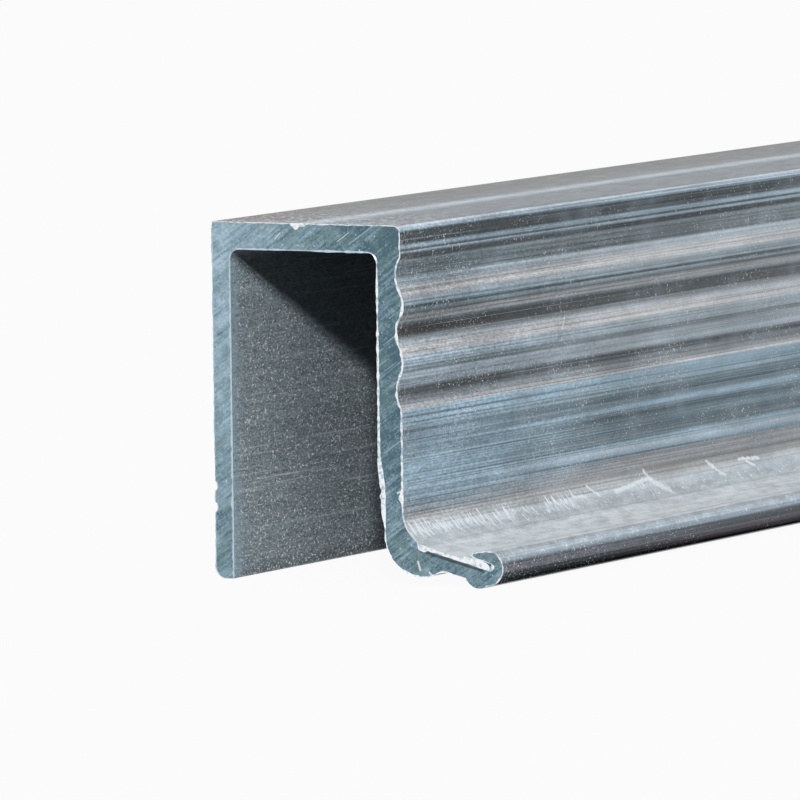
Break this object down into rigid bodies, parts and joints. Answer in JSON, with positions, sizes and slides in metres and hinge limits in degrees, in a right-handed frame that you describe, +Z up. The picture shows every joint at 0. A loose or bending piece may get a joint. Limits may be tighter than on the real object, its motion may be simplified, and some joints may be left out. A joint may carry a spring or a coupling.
{
  "type": "aluminium extrusion profile",
  "caption": "Extruded aluminium edge profile: an inverted U channel for a board edge, with a fluted outer leg that turns into a sloping foot with a rolled lip.",
  "frame": {"origin": "centre of the bounding box's bottom, on the floor that the profile stands on", "axes": "+Y along the length, with the near cut end at -Y; +X across the section from the plain leg to the lip; +Z up, from the open mouth of the channel to its closed top"},
  "size_m": [0.0317, 1, 0.035],
  "materials": {
    "mill_aluminium": "mill finish with fine lengthwise die lines and sawn ends"
  },
  "bodies": {
    "root": {"profile": "mill_aluminium"}
  },
  "joints": []
}
